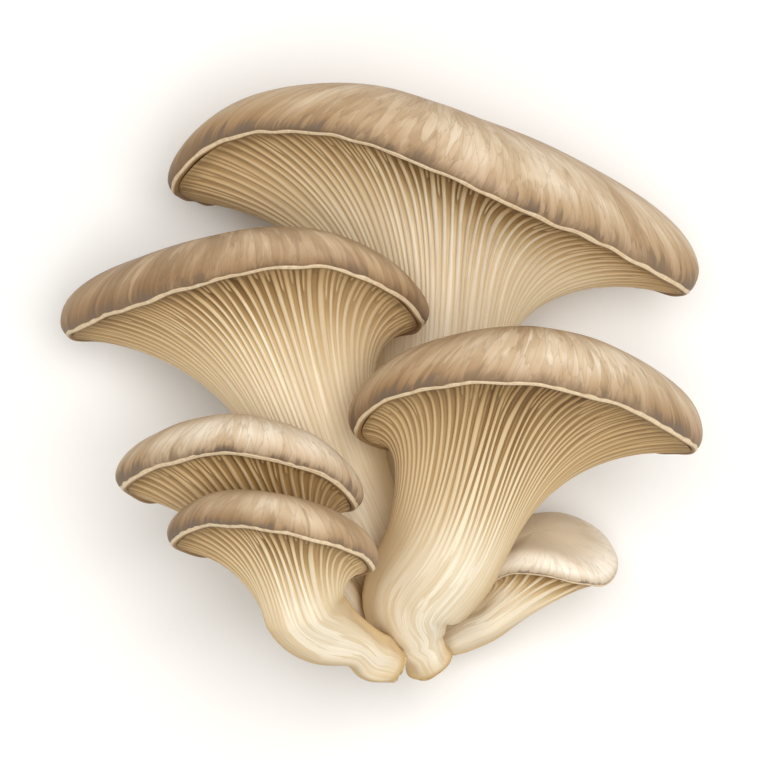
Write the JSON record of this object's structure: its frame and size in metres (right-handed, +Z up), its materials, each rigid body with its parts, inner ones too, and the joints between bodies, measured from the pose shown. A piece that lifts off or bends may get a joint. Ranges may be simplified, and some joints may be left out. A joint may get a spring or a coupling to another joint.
{
  "type": "oyster mushroom cluster",
  "caption": "Cut cluster of oyster mushrooms lying on its back: fan-shaped brown caps with pale rolled lips over cream gills that run down stems joined near one foot.",
  "frame": {"origin": "middle of the bounding box's bottom face, on the surface that the cluster lies on", "axes": "+X to the right along the widest spread, +Y from the cut foot towards the topmost cap, +Z up from the surface"},
  "size_m": [0.1615, 0.1495, 0.0982],
  "materials": {
    "cap_skin": "smooth grey-brown mushroom skin with fine streaks from the middle to the rim, matt to satin, with a pale rolled lip",
    "gill_flesh": "matt cream mushroom flesh with fine gills, paler down the stem"
  },
  "bodies": {
    "root": {"top_cap": "cap_skin", "top_gilled_stem": "gill_flesh", "left_cap": "cap_skin", "left_gilled_stem": "gill_flesh", "right_cap": "cap_skin", "right_gilled_stem": "gill_flesh", "upper_small_cap": "cap_skin", "upper_small_gilled_stem": "gill_flesh", "lower_small_cap": "cap_skin", "lower_small_gilled_stem": "gill_flesh", "side_small_cap": "cap_skin", "side_small_gilled_stem": "gill_flesh"}
  },
  "joints": []
}
